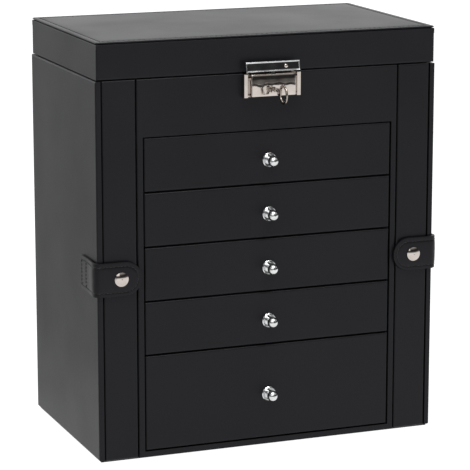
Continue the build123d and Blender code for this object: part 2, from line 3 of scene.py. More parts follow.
import bmesh
import bpy
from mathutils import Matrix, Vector


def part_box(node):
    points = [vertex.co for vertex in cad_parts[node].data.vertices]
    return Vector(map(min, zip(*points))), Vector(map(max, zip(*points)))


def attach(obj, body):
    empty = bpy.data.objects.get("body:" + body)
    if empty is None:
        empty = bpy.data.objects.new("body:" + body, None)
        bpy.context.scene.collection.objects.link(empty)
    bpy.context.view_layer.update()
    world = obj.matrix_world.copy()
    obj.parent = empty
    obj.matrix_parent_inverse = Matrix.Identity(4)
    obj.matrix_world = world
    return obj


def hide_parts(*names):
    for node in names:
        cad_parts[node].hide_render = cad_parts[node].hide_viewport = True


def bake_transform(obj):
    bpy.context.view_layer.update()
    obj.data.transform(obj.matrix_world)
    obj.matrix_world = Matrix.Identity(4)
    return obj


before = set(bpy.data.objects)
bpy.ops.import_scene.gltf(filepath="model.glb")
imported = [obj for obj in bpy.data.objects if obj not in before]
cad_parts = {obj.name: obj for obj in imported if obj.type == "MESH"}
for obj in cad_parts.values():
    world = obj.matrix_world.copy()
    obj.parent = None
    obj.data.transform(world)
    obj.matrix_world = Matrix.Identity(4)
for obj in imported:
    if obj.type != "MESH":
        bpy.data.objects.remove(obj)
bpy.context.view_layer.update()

# Shapes are made in millimetres in the CAD frame and scaled to metres when they become pieces.
MM = 0.001
FRONT_AXES = ((1, 0, 0), (0, 0, 1), (0, -1, 0))     # across, up and out of the front
SIDE_AXES = ((0, 1, 0), (0, 0, 1), (1, 0, 0))       # across, up and out of the side


def span(node):
    """Lowest and highest corner of a CAD node, in millimetres."""
    low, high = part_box(node)
    return low / MM, high / MM


# ---- shape making -----------------------------------------------------------------------------

def outline(half, radii, inset, spacing=2.0, arc_steps=8):
    """A rounded rectangle about the origin, anticlockwise, drawn in by `inset`.

    Every inset gives the same number of points, so that rings of different inset join up.
    """
    radii = radii if isinstance(radii, (tuple, list)) else (radii,) * 4
    arcs = []
    for index, (sign_x, sign_y) in enumerate(((1, 1), (-1, 1), (-1, -1), (1, -1))):
        keep = max(radii[index], inset)
        centre = (sign_x * max(half[0] - keep, 0), sign_y * max(half[1] - keep, 0))
        radius = max(radii[index] - inset, 0)
        arc = []
        for step in range(arc_steps + 1):
            angle = (index + step / arc_steps) * math.pi / 2
            arc.append(Vector((centre[0] + radius * math.cos(angle),
                               centre[1] + radius * math.sin(angle))))
        arcs.append(arc)
    points = []
    for index, arc in enumerate(arcs):
        along = 2 * half[index % 2] - radii[index] - radii[(index + 1) % 4]
        steps = max(1, round(along / spacing))
        following = arcs[(index + 1) % 4][0]
        points += arc
        points += [arc[-1].lerp(following, step / steps) for step in range(1, steps)]
    return points


def ladder(count, offset):
    """Faces across a ring of `count` points whose first and last points face each other."""
    faces = []
    for near in range((count - 1) // 2):
        far = count - 1 - near
        corners = [near, near + 1, far - 1, far]
        if near + 1 == far - 1:
            corners.pop()
        faces.append(tuple(offset + corner for corner in corners))
    return faces


def stack(rings, closed=False, rungs=False):
    """Rings of points joined one to the next; the end rings are capped unless the stack closes.

    With `rungs` the caps are made of quads from one side to the other, which can be bent.
    """
    count = len(rings[0])
    points = [point for ring in rings for point in ring]
    faces = []
    for level in range(len(rings) if closed else len(rings) - 1):
        this, other = level * count, (level + 1) % len(rings) * count
        for index in range(count):
            after = (index + 1) % count
            faces.append((this + index, this + after, other + after, other + index))
    if rungs:
        faces += [tuple(reversed(face)) for face in ladder(count, 0)]
        faces += ladder(count, len(points) - count)
    elif not closed:
        faces.append(tuple(reversed(range(count))))
        faces.append(tuple(range(len(points) - count, len(points))))
    return points, faces


def moulded(half, radii, levels, closed=False, spacing=2.0, arc_steps=8):
    """A rounded rectangle built up from (inset, height) levels."""
    rings = [[(x, y, height) for x, y in outline(half, radii, inset, spacing, arc_steps)]
             for inset, height in levels]
    return stack(rings, closed)


def lathe(profile, segments=64):
    """A body of revolution about Z from (radius, height) points."""
    rings = []
    for radius, height in profile:
        turns = [2 * math.pi * step / segments for step in range(segments)]
        rings.append([(radius * math.cos(turn), radius * math.sin(turn), height)
                      for turn in turns])
    return stack(rings)


def tube(path, radius, sides=8, closed=False, flatten=1.0):
    """A round or flattened tube along a path of points."""
    path = [Vector(point) for point in path]
    count = len(path)
    rings = []
    side = None
    for index, point in enumerate(path):
        before = path[index - 1] if index or closed else point
        after = path[(index + 1) % count] if index < count - 1 or closed else point
        along = (after - before).normalized()
        guess = side if side else (Vector((0, 0, 1)) if abs(along.z) < 0.9 else Vector((1, 0, 0)))
        side = (guess - along * guess.dot(along)).normalized()
        up = along.cross(side)
        size = radius[index] if isinstance(radius, (list, tuple)) else radius
        rings.append([point + side * (size * math.cos(turn)) + up * (size * flatten * math.sin(turn))
                      for turn in (2 * math.pi * step / sides for step in range(sides))])
    return stack(rings, closed)


def merged(shapes):
    """Several shapes as one."""
    points, faces = [], []
    for shape_points, shape_faces in shapes:
        faces += [tuple(index + len(points) for index in face) for face in shape_faces]
        points += list(shape_points)
    return points, faces


def placed(shape, origin, across=(1, 0, 0), up=(0, 1, 0), out=(0, 0, 1)):
    """The shape with its X, Y and Z laid along the three given directions from the origin."""
    points, faces = shape
    across, up, out, origin = Vector(across), Vector(up), Vector(out), Vector(origin)
    moved = []
    for x, y, z in points:
        moved.append(origin + across * x + up * y + out * z)
    return moved, faces


def facing_front(shape, origin):
    """A shape whose X runs along X, Y runs up and Z runs out of the front."""
    return placed(shape, origin, *FRONT_AXES)


def mirrored(shape):
    """The shape's mirror image on the other side of the case."""
    points, faces = shape
    return [(-x, y, z) for x, y, z in points], [tuple(reversed(face)) for face in faces]


def piece(name, shape, material, body=None, crease=40):
    """A mesh object made of the shape, riding on a body if one is given."""
    points, faces = shape
    mesh = bpy.data.meshes.new(name)
    mesh.from_pydata([Vector(point) * MM for point in points], [], faces)
    work = bmesh.new()
    work.from_mesh(mesh)
    bmesh.ops.remove_doubles(work, verts=work.verts, dist=1e-6)
    bmesh.ops.dissolve_degenerate(work, edges=work.edges, dist=1e-7)
    bmesh.ops.recalc_face_normals(work, faces=work.faces)
    work.to_mesh(mesh)
    work.free()
    mesh.shade_smooth()
    mesh.set_sharp_from_angle(angle=math.radians(crease))
    mesh.materials.append(material)
    made = bpy.data.objects.new(name, mesh)
    bpy.context.scene.collection.objects.link(made)
    if body:
        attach(made, body)
    return made


def along_path(path, closed=False):
    """Length of a path and a function that gives the point and direction at a length along it."""
    points = [Vector(point) for point in path]
    if closed:
        points.append(points[0])
    lengths = [0.0]
    for start, end in zip(points, points[1:]):
        lengths.append(lengths[-1] + (end - start).length)

    def at(length):
        length = min(max(length, 0.0), lengths[-1])
        index = 0
        while index < len(points) - 2 and lengths[index + 1] < length:
            index += 1
        step = points[index + 1] - points[index]
        share = (length - lengths[index]) / max(step.length, 1e-9)
        return points[index] + step * share, step.normalized()

    return lengths[-1], at


STITCH_RISE = (-0.30, 0.05, 0.20, 0.24, 0.20, 0.05, -0.30)


def stitches(path, up, pitch, length, radius, closed=True, slant=0.1):
    """Thread showing along a seam: one short arched tube for each stitch."""
    whole, at = along_path(path, closed)
    count = round(whole / pitch)
    threads = []
    for number in range(count):
        centre, along = at((number + 0.5) * whole / count)
        across = Vector(up).cross(along).normalized()
        thread = []
        for step, rise in enumerate(STITCH_RISE):
            reach = (step / (len(STITCH_RISE) - 1) - 0.5) * length
            thread.append(centre + along * reach + across * (reach * slant) + Vector(up) * rise)
        threads.append(tube(thread, radius, sides=6))
    return merged(threads)


# ---- materials --------------------------------------------------------------------------------

class Nodes:
    """Short calls that add shader nodes to one material."""

    def __init__(self, name):
        self.material = bpy.data.materials.new(name)
        self.material.use_nodes = True
        self.tree = self.material.node_tree
        self.shader = self.tree.nodes["Principled BSDF"]
        self.place = self.add("ShaderNodeTexCoord").outputs["Object"]

    def add(self, kind, **settings):
        """A new node of a kind."""
        node = self.tree.nodes.new(kind)
        for key, value in settings.items():
            setattr(node, key, value)
        return node

    def link(self, output, socket):
        """Joins an output to an input."""
        self.tree.links.new(output, socket)

    def stretched(self, scale):
        """Object coordinates scaled differently along each axis."""
        node = self.add("ShaderNodeMapping")
        node.inputs["Scale"].default_value = scale
        self.link(self.place, node.inputs["Vector"])
        return node.outputs["Vector"]

    def noise(self, scale, detail=2.0, place=None):
        """Soft noise from 0 to 1."""
        node = self.add("ShaderNodeTexNoise")
        node.inputs["Scale"].default_value = scale
        node.inputs["Detail"].default_value = detail
        self.link(place or self.place, node.inputs["Vector"])
        return node.outputs["Fac"]

    def cells(self, scale):
        """Distance to the nearest of many points: rounded pebbles."""
        node = self.add("ShaderNodeTexVoronoi", feature="SMOOTH_F1")
        node.inputs["Scale"].default_value = scale
        self.link(self.place, node.inputs["Vector"])
        return node.outputs["Distance"]

    def between(self, value, low, high, start=0.3, end=0.7):
        """The value, spread over start to end, as a number from low to high."""
        node = self.add("ShaderNodeMapRange")
        for socket, number in zip(("From Min", "From Max", "To Min", "To Max"),
                                  (start, end, low, high)):
            node.inputs[socket].default_value = number
        self.link(value, node.inputs["Value"])
        return node.outputs["Result"]

    def colours(self, value, *stops):
        """A colour ramp of (place, colour) stops."""
        node = self.add("ShaderNodeValToRGB")
        ramp = node.color_ramp
        while len(ramp.elements) < len(stops):
            ramp.elements.new(0.5)
        for element, (where, colour) in zip(ramp.elements, stops):
            element.position = where
            element.color = (*colour, 1)
        self.link(value, node.inputs["Fac"])
        return node.outputs["Color"]

    def bump(self, height, strength, distance, onto=None):
        """Relief from a height, laid over another relief if one is given."""
        node = self.add("ShaderNodeBump")
        node.inputs["Strength"].default_value = strength
        node.inputs["Distance"].default_value = distance
        self.link(height, node.inputs["Height"])
        if onto:
            self.link(onto, node.inputs["Normal"])
        return node.outputs["Normal"]

    def finish(self, colour=None, roughness=None, normal=None, **numbers):
        """Links what varies and sets what doesn't on the shader's own sockets."""
        for socket, value in (("Base Color", colour), ("Roughness", roughness),
                              ("Normal", normal)):
            if value is not None:
                self.link(value, self.shader.inputs[socket])
        for name, number in numbers.items():
            self.shader.inputs[name.replace("_", " ")].default_value = number
        return self.material


COATING_IOR = 1.30
COATING_TINT = (0.92, 0.92, 1.0, 1.0)


def leather(name, shade, grain, roughness, depth):
    """Coated leather cloth: pebbled grain, fine pores, and slow changes of shade and gloss."""
    make = Nodes(name)
    slow = make.noise(14.0, 3.0)
    pebbles = make.cells(grain)
    pores = make.noise(grain * 3.1, 2.0)
    darker = tuple(channel * 0.78 for channel in shade)
    lighter = tuple(channel * 1.25 for channel in shade)
    colour = make.colours(slow, (0.3, darker), (0.7, lighter))
    gloss = make.between(slow, roughness - 0.035, roughness + 0.035)
    relief = make.bump(pores, 0.10, depth * 0.4, make.bump(pebbles, 0.35, depth))
    return make.finish(colour, gloss, relief, IOR=COATING_IOR, Specular_Tint=COATING_TINT)


def thread_material():
    """Twisted black sewing thread."""
    make = Nodes("black_thread")
    fibres = make.noise(5200.0, 2.0)
    colour = make.colours(fibres, (0.3, (0.004, 0.004, 0.004)), (0.7, (0.014, 0.014, 0.015)))
    return make.finish(colour, make.between(fibres, 0.55, 0.75), make.bump(fibres, 0.4, 0.0001))


def velvet_material(name, shade):
    """Short pile with brushed patches and a sheen where it turns away."""
    make = Nodes(name)
    pile = make.noise(2600.0, 2.0)
    brushed = make.noise(38.0, 4.0)
    darker = tuple(channel * 0.72 for channel in shade)
    lighter = tuple(channel * 1.18 for channel in shade)
    colour = make.colours(brushed, (0.32, darker), (0.68, lighter))
    relief = make.bump(pile, 0.55, 0.0003, make.bump(brushed, 0.15, 0.002))
    return make.finish(colour, make.between(pile, 0.8, 0.95), relief,
                       Sheen_Weight=0.7, Sheen_Roughness=0.35)


def nickel_material(name, dull, bright):
    """Polished plate with faint smears and hairline scratches."""
    make = Nodes(name)
    smears = make.noise(160.0, 3.0)
    hairs = make.noise(1500.0, 1.0, make.stretched((1.0, 1.0, 14.0)))
    colour = make.colours(smears, (0.25, dull), (0.75, bright))
    return make.finish(colour, make.between(smears, 0.05, 0.13), make.bump(hairs, 0.03, 0.00005),
                       Metallic=1.0)


def steel_material():
    """Zinc-plated steel with the brushing of rolled strip."""
    make = Nodes("plated_steel")
    strip = make.noise(900.0, 3.0, make.stretched((1.0, 1.0, 18.0)))
    cloud = make.noise(90.0, 3.0)
    colour = make.colours(cloud, (0.3, (0.42, 0.41, 0.39)), (0.7, (0.58, 0.57, 0.55)))
    return make.finish(colour, make.between(strip, 0.24, 0.42), make.bump(strip, 0.12, 0.0001),
                       Metallic=1.0)


def mirror_material():
    """Silvered glass with the faintest haze of handling."""
    make = Nodes("silvered_glass")
    haze = make.noise(22.0, 4.0)
    colour = make.colours(haze, (0.3, (0.86, 0.88, 0.88)), (0.7, (0.90, 0.92, 0.92)))
    return make.finish(colour, make.between(haze, 0.004, 0.03, 0.5, 0.8), Metallic=1.0)


def board_material():
    """Fibreboard covered in black paper, with its fibres showing faintly."""
    make = Nodes("paper_board")
    fibres = make.noise(700.0, 4.0, make.stretched((1.0, 3.5, 1.0)))
    colour = make.colours(fibres, (0.3, (0.012, 0.012, 0.012)), (0.7, (0.028, 0.028, 0.029)))
    return make.finish(colour, make.between(fibres, 0.6, 0.78), make.bump(fibres, 0.25, 0.0002))


def flock_material():
    """Matt flock under the base."""
    make = Nodes("base_flock")
    pile = make.noise(1800.0, 3.0)
    colour = make.colours(pile, (0.3, (0.010, 0.010, 0.011)), (0.7, (0.026, 0.026, 0.027)))
    return make.finish(colour, make.between(pile, 0.85, 1.0), make.bump(pile, 0.7, 0.0004),
                       Sheen_Weight=0.3)


def shade_steel_material():
    """Near-black steel standing in for shade (painted shade): on the hasp's eye down in the cover's
    slot, and as the dark inside of a screw's cross recess.
    """
    make = Nodes("near_black_painted_shade")
    shade_mottle = make.noise(1200.0, 2.0)
    colour = make.colours(shade_mottle, (0.3, (0.02, 0.02, 0.02)), (0.7, (0.06, 0.055, 0.05)))
    return make.finish(colour, make.between(shade_mottle, 0.4, 0.7), Metallic=0.6)


LEATHER = leather("black_leatherette", (0.0045, 0.0045, 0.0052), 1150.0, 0.44, 0.00016)
STRAP = leather("black_strap_leather", (0.0036, 0.0036, 0.0042), 1500.0, 0.40, 0.00014)
THREAD = thread_material()
VELVET = velvet_material("grey_velvet", (0.30, 0.285, 0.27))
NICKEL = nickel_material("polished_nickel", (0.45, 0.405, 0.375), (0.54, 0.49, 0.455))
CHROME = nickel_material("bright_chrome", (0.52, 0.525, 0.53), (0.68, 0.685, 0.69))
# The key's nickel is darker than the other plate as a painted reflection: it stands for the dark
# surroundings that its faces reflect.
KEY_NICKEL = nickel_material("key_nickel_painted_dark", (0.27, 0.235, 0.205), (0.40, 0.355, 0.315))
STEEL = steel_material()
MIRROR = mirror_material()
BOARD = board_material()
FLOCK = flock_material()
# near-black steel used as painted shade
SHADE_STEEL = shade_steel_material()
FINISHES = {"leatherette": LEATHER, "strap_leather": STRAP, "velvet": VELVET, "chrome": NICKEL,
            "steel": STEEL, "mirror": MIRROR, "board": BOARD, "flock": FLOCK}


def finish_frame():
    """Every CAD node that stays in view takes the finish of its slot."""
    for name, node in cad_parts.items():
        material = FINISHES[node.data.materials[0].name.split(".")[0]]
        # The hasp's eye takes near-black steel as painted shade, for the shadow it sits in within
        # the cover's slot.
        if name == "hasp_eye":
            material = SHADE_STEEL
        if name.endswith("_knob"):
            material = CHROME
        for index in range(len(node.data.materials)):
            node.data.materials[index] = material


# ---- lid --------------------------------------------------------------------------------------

SEAM_INSET = 5.0         # stitched seam to the edge of the lid panel
SEAM_PITCH = 4.1
SEAM_STITCH = 2.9
THREAD_R = 0.30


def build_lid_panel():
    """The stitched leather panel on top of the lid, with its sewn groove and low crown."""
    low, high = span("lid_top_panel")
    half = (high.x, high.y)
    top = high.z
    levels = [(1.6, low.z - 0.1), (1.6, low.z + 0.5), (0.35, low.z + 0.62), (0.0, low.z + 0.9),
              (0.1, top - 0.45), (0.4, top - 0.15), (1.0, top), (2.6, top + 0.05),
              (SEAM_INSET - 0.9, top - 0.1), (SEAM_INSET - 0.35, top - 0.38),
              (SEAM_INSET, top - 0.45), (SEAM_INSET + 0.35, top - 0.38),
              (SEAM_INSET + 0.9, top - 0.1), (8.0, top + 0.12), (14.0, top + 0.25),
              (26.0, top + 0.36), (45.0, top + 0.43), (62.0, top + 0.46), (79.0, top + 0.47)]
    panel = piece("lid_panel_leather", moulded(half, 2.0, levels), LEATHER, "lid")
    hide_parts("lid_top_panel")
    seam = [(x, y, top - 0.36) for x, y in outline(half, 2.0, SEAM_INSET, spacing=1.0)]
    thread = stitches(seam, (0, 0, 1), SEAM_PITCH, SEAM_STITCH, THREAD_R)
    piece("lid_panel_stitching", thread, THREAD, "lid")


def build_lid_inside():
    """Velvet skin round the walls, a padded frame, and a mirror with a ground edge in it."""
    lining_low, lining_high = span("lid_lining")
    shell_low = span("lid_shell")[0]
    half = (lining_high.x, lining_high.y)
    ceiling = lining_low.z
    skin = [(-0.1, ceiling + 0.5), (-0.1, shell_low.z + 1.6), (0.2, shell_low.z + 1.2),
            (0.6, shell_low.z + 1.3), (0.8, shell_low.z + 2.2), (0.8, ceiling + 0.5)]
    piece("lid_wall_velvet", moulded(half, 2.0, skin, closed=True), VELVET, "lid")
    pad = [(0.9, ceiling + 0.3), (0.9, ceiling - 1.2), (1.7, ceiling - 2.9), (3.6, ceiling - 4.1),
           (6.5, ceiling - 4.6), (9.5, ceiling - 4.6), (12.5, ceiling - 4.1),
           (14.9, ceiling - 3.2), (16.3, ceiling - 2.4), (16.9, ceiling - 1.6),
           (16.9, ceiling + 0.3)]
    cushion = piece("lid_mirror_frame", moulded(half, 3.0, pad, closed=True), VELVET,
                    "lid", crease=70)
    low, high = span("lid_mirror")
    glass = [(0.0, high.z - 0.05), (0.0, low.z + 0.9), (0.25, low.z + 0.75), (7.0, low.z + 0.05),
             (7.3, low.z)]
    mirror = piece("lid_bevelled_mirror", moulded((high.x, high.y), 1.0, glass), MIRROR,
                   "lid", crease=3)
    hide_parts("lid_mirror")


# ---- straps -----------------------------------------------------------------------------------

STRAP_INSET = 3.2        # seam to the strap's edge
STRAP_BOX = 14.0         # the cross-stitched end that holds the strap to the door
STRAP_PITCH = 2.9
STRAP_STITCH = 2.0
STRAP_THREAD_R = 0.24
STRAP_THICK = 2.4
STRAP_BEND = 3.4         # radius of the strap's inner skin round the door's front edge
STRAP_SKIN = 1.85        # height of the strap's outer skin at its rim


def strap_route():
    """Plan of the left strap's inner skin, from its sewn end round the door's edge to its tip."""
    anchor_high = span("left_strap_anchor")[1]
    flap_low, flap_high = span("left_strap_flap")
    door = anchor_high.x
    back = flap_low.y + STRAP_THICK
    lift = flap_low.x + STRAP_THICK
    route = [(door, anchor_high.y), (door, -62.0), (door - 0.12, -67.0), (door - 0.45, -71.5),
             (lift + 0.1, -76.5), (lift, back + STRAP_BEND)]
    for step in range(1, 7):
        angle = math.pi * (1 + step / 12)
        route.append((lift + STRAP_BEND + STRAP_BEND * math.cos(angle),
                      back + STRAP_BEND + STRAP_BEND * math.sin(angle)))
    route += [(-131.0, back), (-120.0, back + 0.1), (flap_high.x, back + 0.15)]
    return [Vector((x, y, 0)) for x, y in route]


def strap_bender():
    """How long the strap is, and where a point of the flat strap goes once it is bent."""
    whole, at = along_path(strap_route())
    low, high = span("left_strap_flap")
    middle = (low.z + high.z) / 2
    reach = 1.6

    def bent(x, y, height):
        along = x + whole / 2
        here = at(along)[0]
        before, after = at(along - reach)[0], at(along + reach)[0]
        smooth = here.lerp((before + after) / 2, 0.5)
        direction = (after - before).normalized()
        outward = direction.cross(Vector((0, 0, 1)))
        if along > whole - reach:
            smooth = here
        return smooth + outward * height + Vector((0, 0, middle + y))

    return whole, bent


def strap_height(x, y, whole, half):
    """Height of the strap's outer skin: puffed inside its seams, drawn in along them."""
    edge = min(half - abs(y), whole / 2 + x + 1.0)
    if x > whole / 2 - half:
        edge = min(edge, half - math.hypot(x - (whole / 2 - half), y))
    seam = math.exp(-((edge - STRAP_INSET) / 0.5) ** 2)
    cross = 0.0
    if abs(y) < half - STRAP_INSET:
        cross = math.exp(-((x + whole / 2 - STRAP_BOX) / 0.5) ** 2)
    rim = 1 - math.exp(-(max(edge, 0) / 0.7))
    puff = 1 - math.exp(-max(edge - STRAP_INSET, 0) / 2.6)
    return STRAP_SKIN + 0.12 * rim + 0.35 * puff - 0.20 * max(seam, cross)


STRAP_UNDER = ((2.0, 0.15), (0.5, 0.0), (0.1, 0.2), (0.0, 0.5), (0.0, 1.3))     # inset, height
STRAP_OVER = (0.25, 0.6, 1.1, 1.7, 2.3, 2.65, 2.95, 3.2, 3.45, 3.75, 4.2, 5.0, 6.2, 7.6, 9.0,
              10.4, 11.7)


def strap_shapes():
    """The left strap's leather and its sewing, both bent round the door's front edge."""
    whole, bent = strap_bender()
    low, high = span("left_strap_flap")
    half = (high.z - low.z) / 2
    radii = (half - 0.05, 1.2, 1.2, half - 0.05)

    def flat(inset):
        return outline((whole / 2, half), radii, inset, spacing=0.8, arc_steps=14)

    def skin(x, y):
        return strap_height(x, y, whole, half)

    def sewn(points, closed):
        lifted = [Vector((x, y, skin(x, y) + 0.08)) for x, y in points]
        threads = stitches(lifted, (0, 0, 1), STRAP_PITCH, STRAP_STITCH, STRAP_THREAD_R, closed)
        return [bent(*point) for point in threads[0]], threads[1]

    rings = [[bent(x, y, height) for x, y in flat(inset)] for inset, height in STRAP_UNDER]
    rings += [[bent(x, y, skin(x, y)) for x, y in flat(inset)] for inset in STRAP_OVER]
    cross_x = STRAP_BOX - whole / 2
    cross = [Vector((cross_x, (half - STRAP_INSET) * step / 8)) for step in range(-8, 9)]
    thread = merged([sewn(flat(STRAP_INSET), True), sewn(cross, False)])
    return stack(rings, rungs=True), thread


def build_straps():
    """Each strap is one piece of leather, shaped from its door round to its snap; it rides on no
    body.
    """
    strap, thread = strap_shapes()
    for side, sign in (("left", 1), ("right", -1)):
        shapes = [strap, thread] if sign > 0 else [mirrored(strap), mirrored(thread)]
        leather_piece = piece(f"{side}_strap_leather", shapes[0], STRAP,
                              crease=60)
        sewing = piece(f"{side}_strap_stitching", shapes[1], THREAD)
        for bending in (leather_piece, sewing):
            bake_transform(bending)
        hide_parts(f"{side}_strap_anchor", f"{side}_strap_flap")


STUD_R = 4.5


def build_snap_studs():
    """The lower halves of the snaps: a dished disc with a post in its middle."""
    low, high = span("snap_studs")
    stud = lathe([(0, 0), (STUD_R, 0), (STUD_R, 0.2), (4.3, 0.38), (3.6, 0.42), (2.9, 0.3),
                  (2.7, 0.15), (1.8, 0.15), (1.65, 0.4), (1.3, 0.52), (0, 0.54)], 48)
    middle = (low.z + high.z) / 2
    studs = [facing_front(stud, (sign * (high.x - STUD_R), high.y, middle)) for sign in (-1, 1)]
    made = piece("snap_stud_discs", merged(studs), NICKEL, "case", crease=50)
    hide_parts("snap_studs")


# ---- lock -------------------------------------------------------------------------------------

COVER_FOLD = -0.6        # above this the face of the cover leans back
COVER_WAVE = 1.0
WAVE_FADE = 6.0          # height over which the wave dies out
COVER_RIM = 1.7          # width of the rolled rim round the cover's face
COVER_RINGS = 17
RING_STEP = 0.4
SLOT_HALF = 2.1
SLOT_PLAY = 0.9          # room behind and in front of the hasp's eye
COVER_CREASE = 50
# (height above the fold, how far the face leans back there for each unit of height)
COVER_SLOPES = ((0.0, 0.0), (0.6, 0.15), (1.7, 0.17), (2.1, 0.06), (2.7, 0.115), (4.8, 0.12),
                (5.6, 0.175), (10.0, 0.19))


def cover_lean(height):
    """How far back the face of the cover stands at a height above its fold."""
    lean = 0.0
    for (start, slope), (end, next_slope) in zip(COVER_SLOPES, COVER_SLOPES[1:]):
        run = min(max(height - start, 0.0), end - start)
        lean += run * (slope + (next_slope - slope) * run / (end - start) / 2)
    return lean


def cover_shape(low, high):
    """The cover's box with its face pressed into the slopes and the wave."""
    half = (high.x, (high.z - low.z) / 2)
    deep = high.y - low.y
    levels = [(0.0, 0.0), (0.0, deep - 1.3), (0.12, deep - 0.75), (0.42, deep - 0.35),
              (0.95, deep - 0.12), (COVER_RIM, deep)]
    levels += [(COVER_RIM + RING_STEP * step, deep) for step in range(1, COVER_RINGS + 1)]
    points, faces = moulded(half, 0.9, levels, spacing=0.7)
    pressed = []
    for x, y, z in points:
        above = y - COVER_FOLD
        fade = min(max(1 - above / WAVE_FADE, 0.0), 1.0)
        wave = COVER_WAVE * math.sin(x / 5.0 + 0.6) * math.sin(x / 2.3) * fade
        lean = cover_lean(above - wave) if z > deep - 1.0 else 0
        pressed.append((x, y, z - lean))
    return facing_front((pressed, faces), (0, high.y, (low.z + high.z) / 2))


def cut_away(target, cutter):
    """Takes the cutter's volume out of the target's mesh and removes the cutter."""
    cut = target.modifiers.new("slot", "BOOLEAN")
    cut.operation = "DIFFERENCE"
    cut.solver = "EXACT"
    cut.object = cutter
    graph = bpy.context.evaluated_depsgraph_get()
    cut_mesh = bpy.data.meshes.new_from_object(target.evaluated_get(graph))
    target.modifiers.clear()
    target.data = cut_mesh
    bpy.data.objects.remove(cutter)


def build_lock_cover():
    """The pressed box over the lock: flat below, leaning back above, with a slot for the eye."""
    low, high = span("lock_cover")
    cover = piece("lock_cover_pressing", cover_shape(low, high), NICKEL,
                  crease=COVER_CREASE)
    eye_low, eye_high = span("hasp_eye")
    slot = moulded((SLOT_HALF, (eye_high.y - eye_low.y) / 2 + SLOT_PLAY), 0.4,
                   [(0, high.z - 6.0), (0, high.z + 2.0)])
    slot = placed(slot, (0, (eye_low.y + eye_high.y) / 2, 0))
    cut_away(cover, piece("slot_cutter", slot, NICKEL))
    cover.data.set_sharp_from_angle(angle=math.radians(COVER_CREASE))
    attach(cover, "case")
    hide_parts("lock_cover")


HASP_LEAN = 0.20         # how far the face leans back for each unit of height
HASP_INSET = 0.6         # front of the plate's rim behind the front of its CAD node
FACE_DROP = 0.38         # face below the plate's rim
RIVET_X = 10.7


def build_hasp_plate():
    """The plate on the lid: a thin rolled rim round a face that leans back, and a domed rivet."""
    low, high = span("hasp_plate")
    half = (high.x, (high.z - low.z) / 2)
    front = low.y + HASP_INSET
    deep = span("lid_shell")[0].y - front
    levels = [(1.9, 0.0), (1.9, deep - 2.0), (0.3, deep - 1.5), (0.0, deep - 1.2),
              (0.0, deep - 0.5), (0.08, deep - 0.2), (0.2, deep - 0.05), (0.36, deep),
              (0.5, deep - 0.1), (0.58, deep - 0.28), (0.7, deep - 0.36),
              (1.4, deep - FACE_DROP), (3.4, deep - FACE_DROP)]
    middle = (low.z + high.z) / 2
    points, faces = moulded(half, 0.5, levels, spacing=1.0)
    leaning = []
    for x, y, z in points:
        lean = HASP_LEAN * (y + half[1]) if z > deep - 3.0 else 0
        leaning.append((x, y, z - lean))
    shape = facing_front((leaning, faces), (0, front + deep, middle))
    plate = piece("hasp_pressing", shape, CHROME, "lid", crease=50)
    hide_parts("hasp_plate")
    rivet = lathe([(0, -0.8), (1.7, -0.8), (1.7, -0.35), (1.55, 0.05), (1.2, 0.35), (0.6, 0.55),
                   (0, 0.6)], 32)
    place = (RIVET_X, front + FACE_DROP + HASP_LEAN * half[1], middle - 0.4)
    piece("hasp_rivet", facing_front(rivet, place), NICKEL, "lid")


BOW_R = 7.8
BOW_HOLE_R = 5.2
BOW_HALF = 0.85          # half the bow's thickness
BOW_SQUARE = 1.15        # how much the bow's section fills out its corners


def bow_ring(centre):
    """The key's bow: a ring in the plane of the case's sides, with a squarish rolled section."""
    ring_r = (BOW_R + BOW_HOLE_R) / 2
    section = (BOW_R - BOW_HOLE_R) / 2
    rings = []
    for turn in (2 * math.pi * step / 72 for step in range(72)):
        outward = Vector((0, math.cos(turn), math.sin(turn)))
        ring = []
        for angle in (2 * math.pi * step / 16 for step in range(16)):
            bulge = 1 / max(abs(math.cos(angle)), abs(math.sin(angle))) ** 0.55
            fill = min(bulge, BOW_SQUARE) / BOW_SQUARE
            ring.append(centre + outward * (ring_r + section * fill * math.cos(angle) * 1.1)
                        + Vector((1, 0, 0)) * (BOW_HALF * fill * math.sin(angle)))
        rings.append(ring)
    return stack(rings, closed=True)


SHANK = ((0, 0), (1.0, 0.0), (1.05, 0.4), (1.05, 3.2), (1.5, 3.4), (1.6, 3.8), (1.5, 4.2),
         (1.05, 4.4), (1.05, 5.4), (1.3, 5.7), (1.3, 6.3), (1.0, 6.6), (0.9, 9.4), (0, 9.4))


def build_key():
    """A cut key: round bow with a rolled rim, tapered neck, turned shoulder and blade."""
    low = span("key")[0]
    plug_low, plug_high = span("lock_plug")
    shank_z = (plug_low.z + plug_high.z) / 2
    face = plug_low.y
    bow = Vector((0, low.y + BOW_R, low.z + BOW_R))
    shank = facing_front(lathe(SHANK, 32), (0, face - 0.1, shank_z))
    neck = moulded((3.4, 2.6), (1.0, 1.0, 1.2, 1.2),
                   [(0.35, -0.8), (0.0, -0.5), (0.0, 0.5), (0.35, 0.8)], spacing=1.0)
    neck = placed(neck, (0, bow.y + BOW_R, (bow.z + shank_z) / 2), *SIDE_AXES)
    blade = moulded((3.0, 1.8), 0.3, [(0.1, -0.4), (0, -0.3), (0, 0.3), (0.1, 0.4)], spacing=1.0)
    blade = placed(blade, (0, face + 1.0, shank_z), *SIDE_AXES)
    key = piece("key_cut", merged([bow_ring(bow), shank, neck, blade]), KEY_NICKEL,
                "key", crease=50)
    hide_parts("key")


LEAF_BACK = 83.3         # rear face of the hinge leaves
LID_LEAF_HALF = 15.0
LID_SCREW_SHIFT = 10.0
LID_SCREW_RISE = 7.2
DOOR_SCREW_X = 126.6
DOOR_SCREW_SHIFT = 7.5
DOOR_HINGE_Z = (45.0, 250.0)


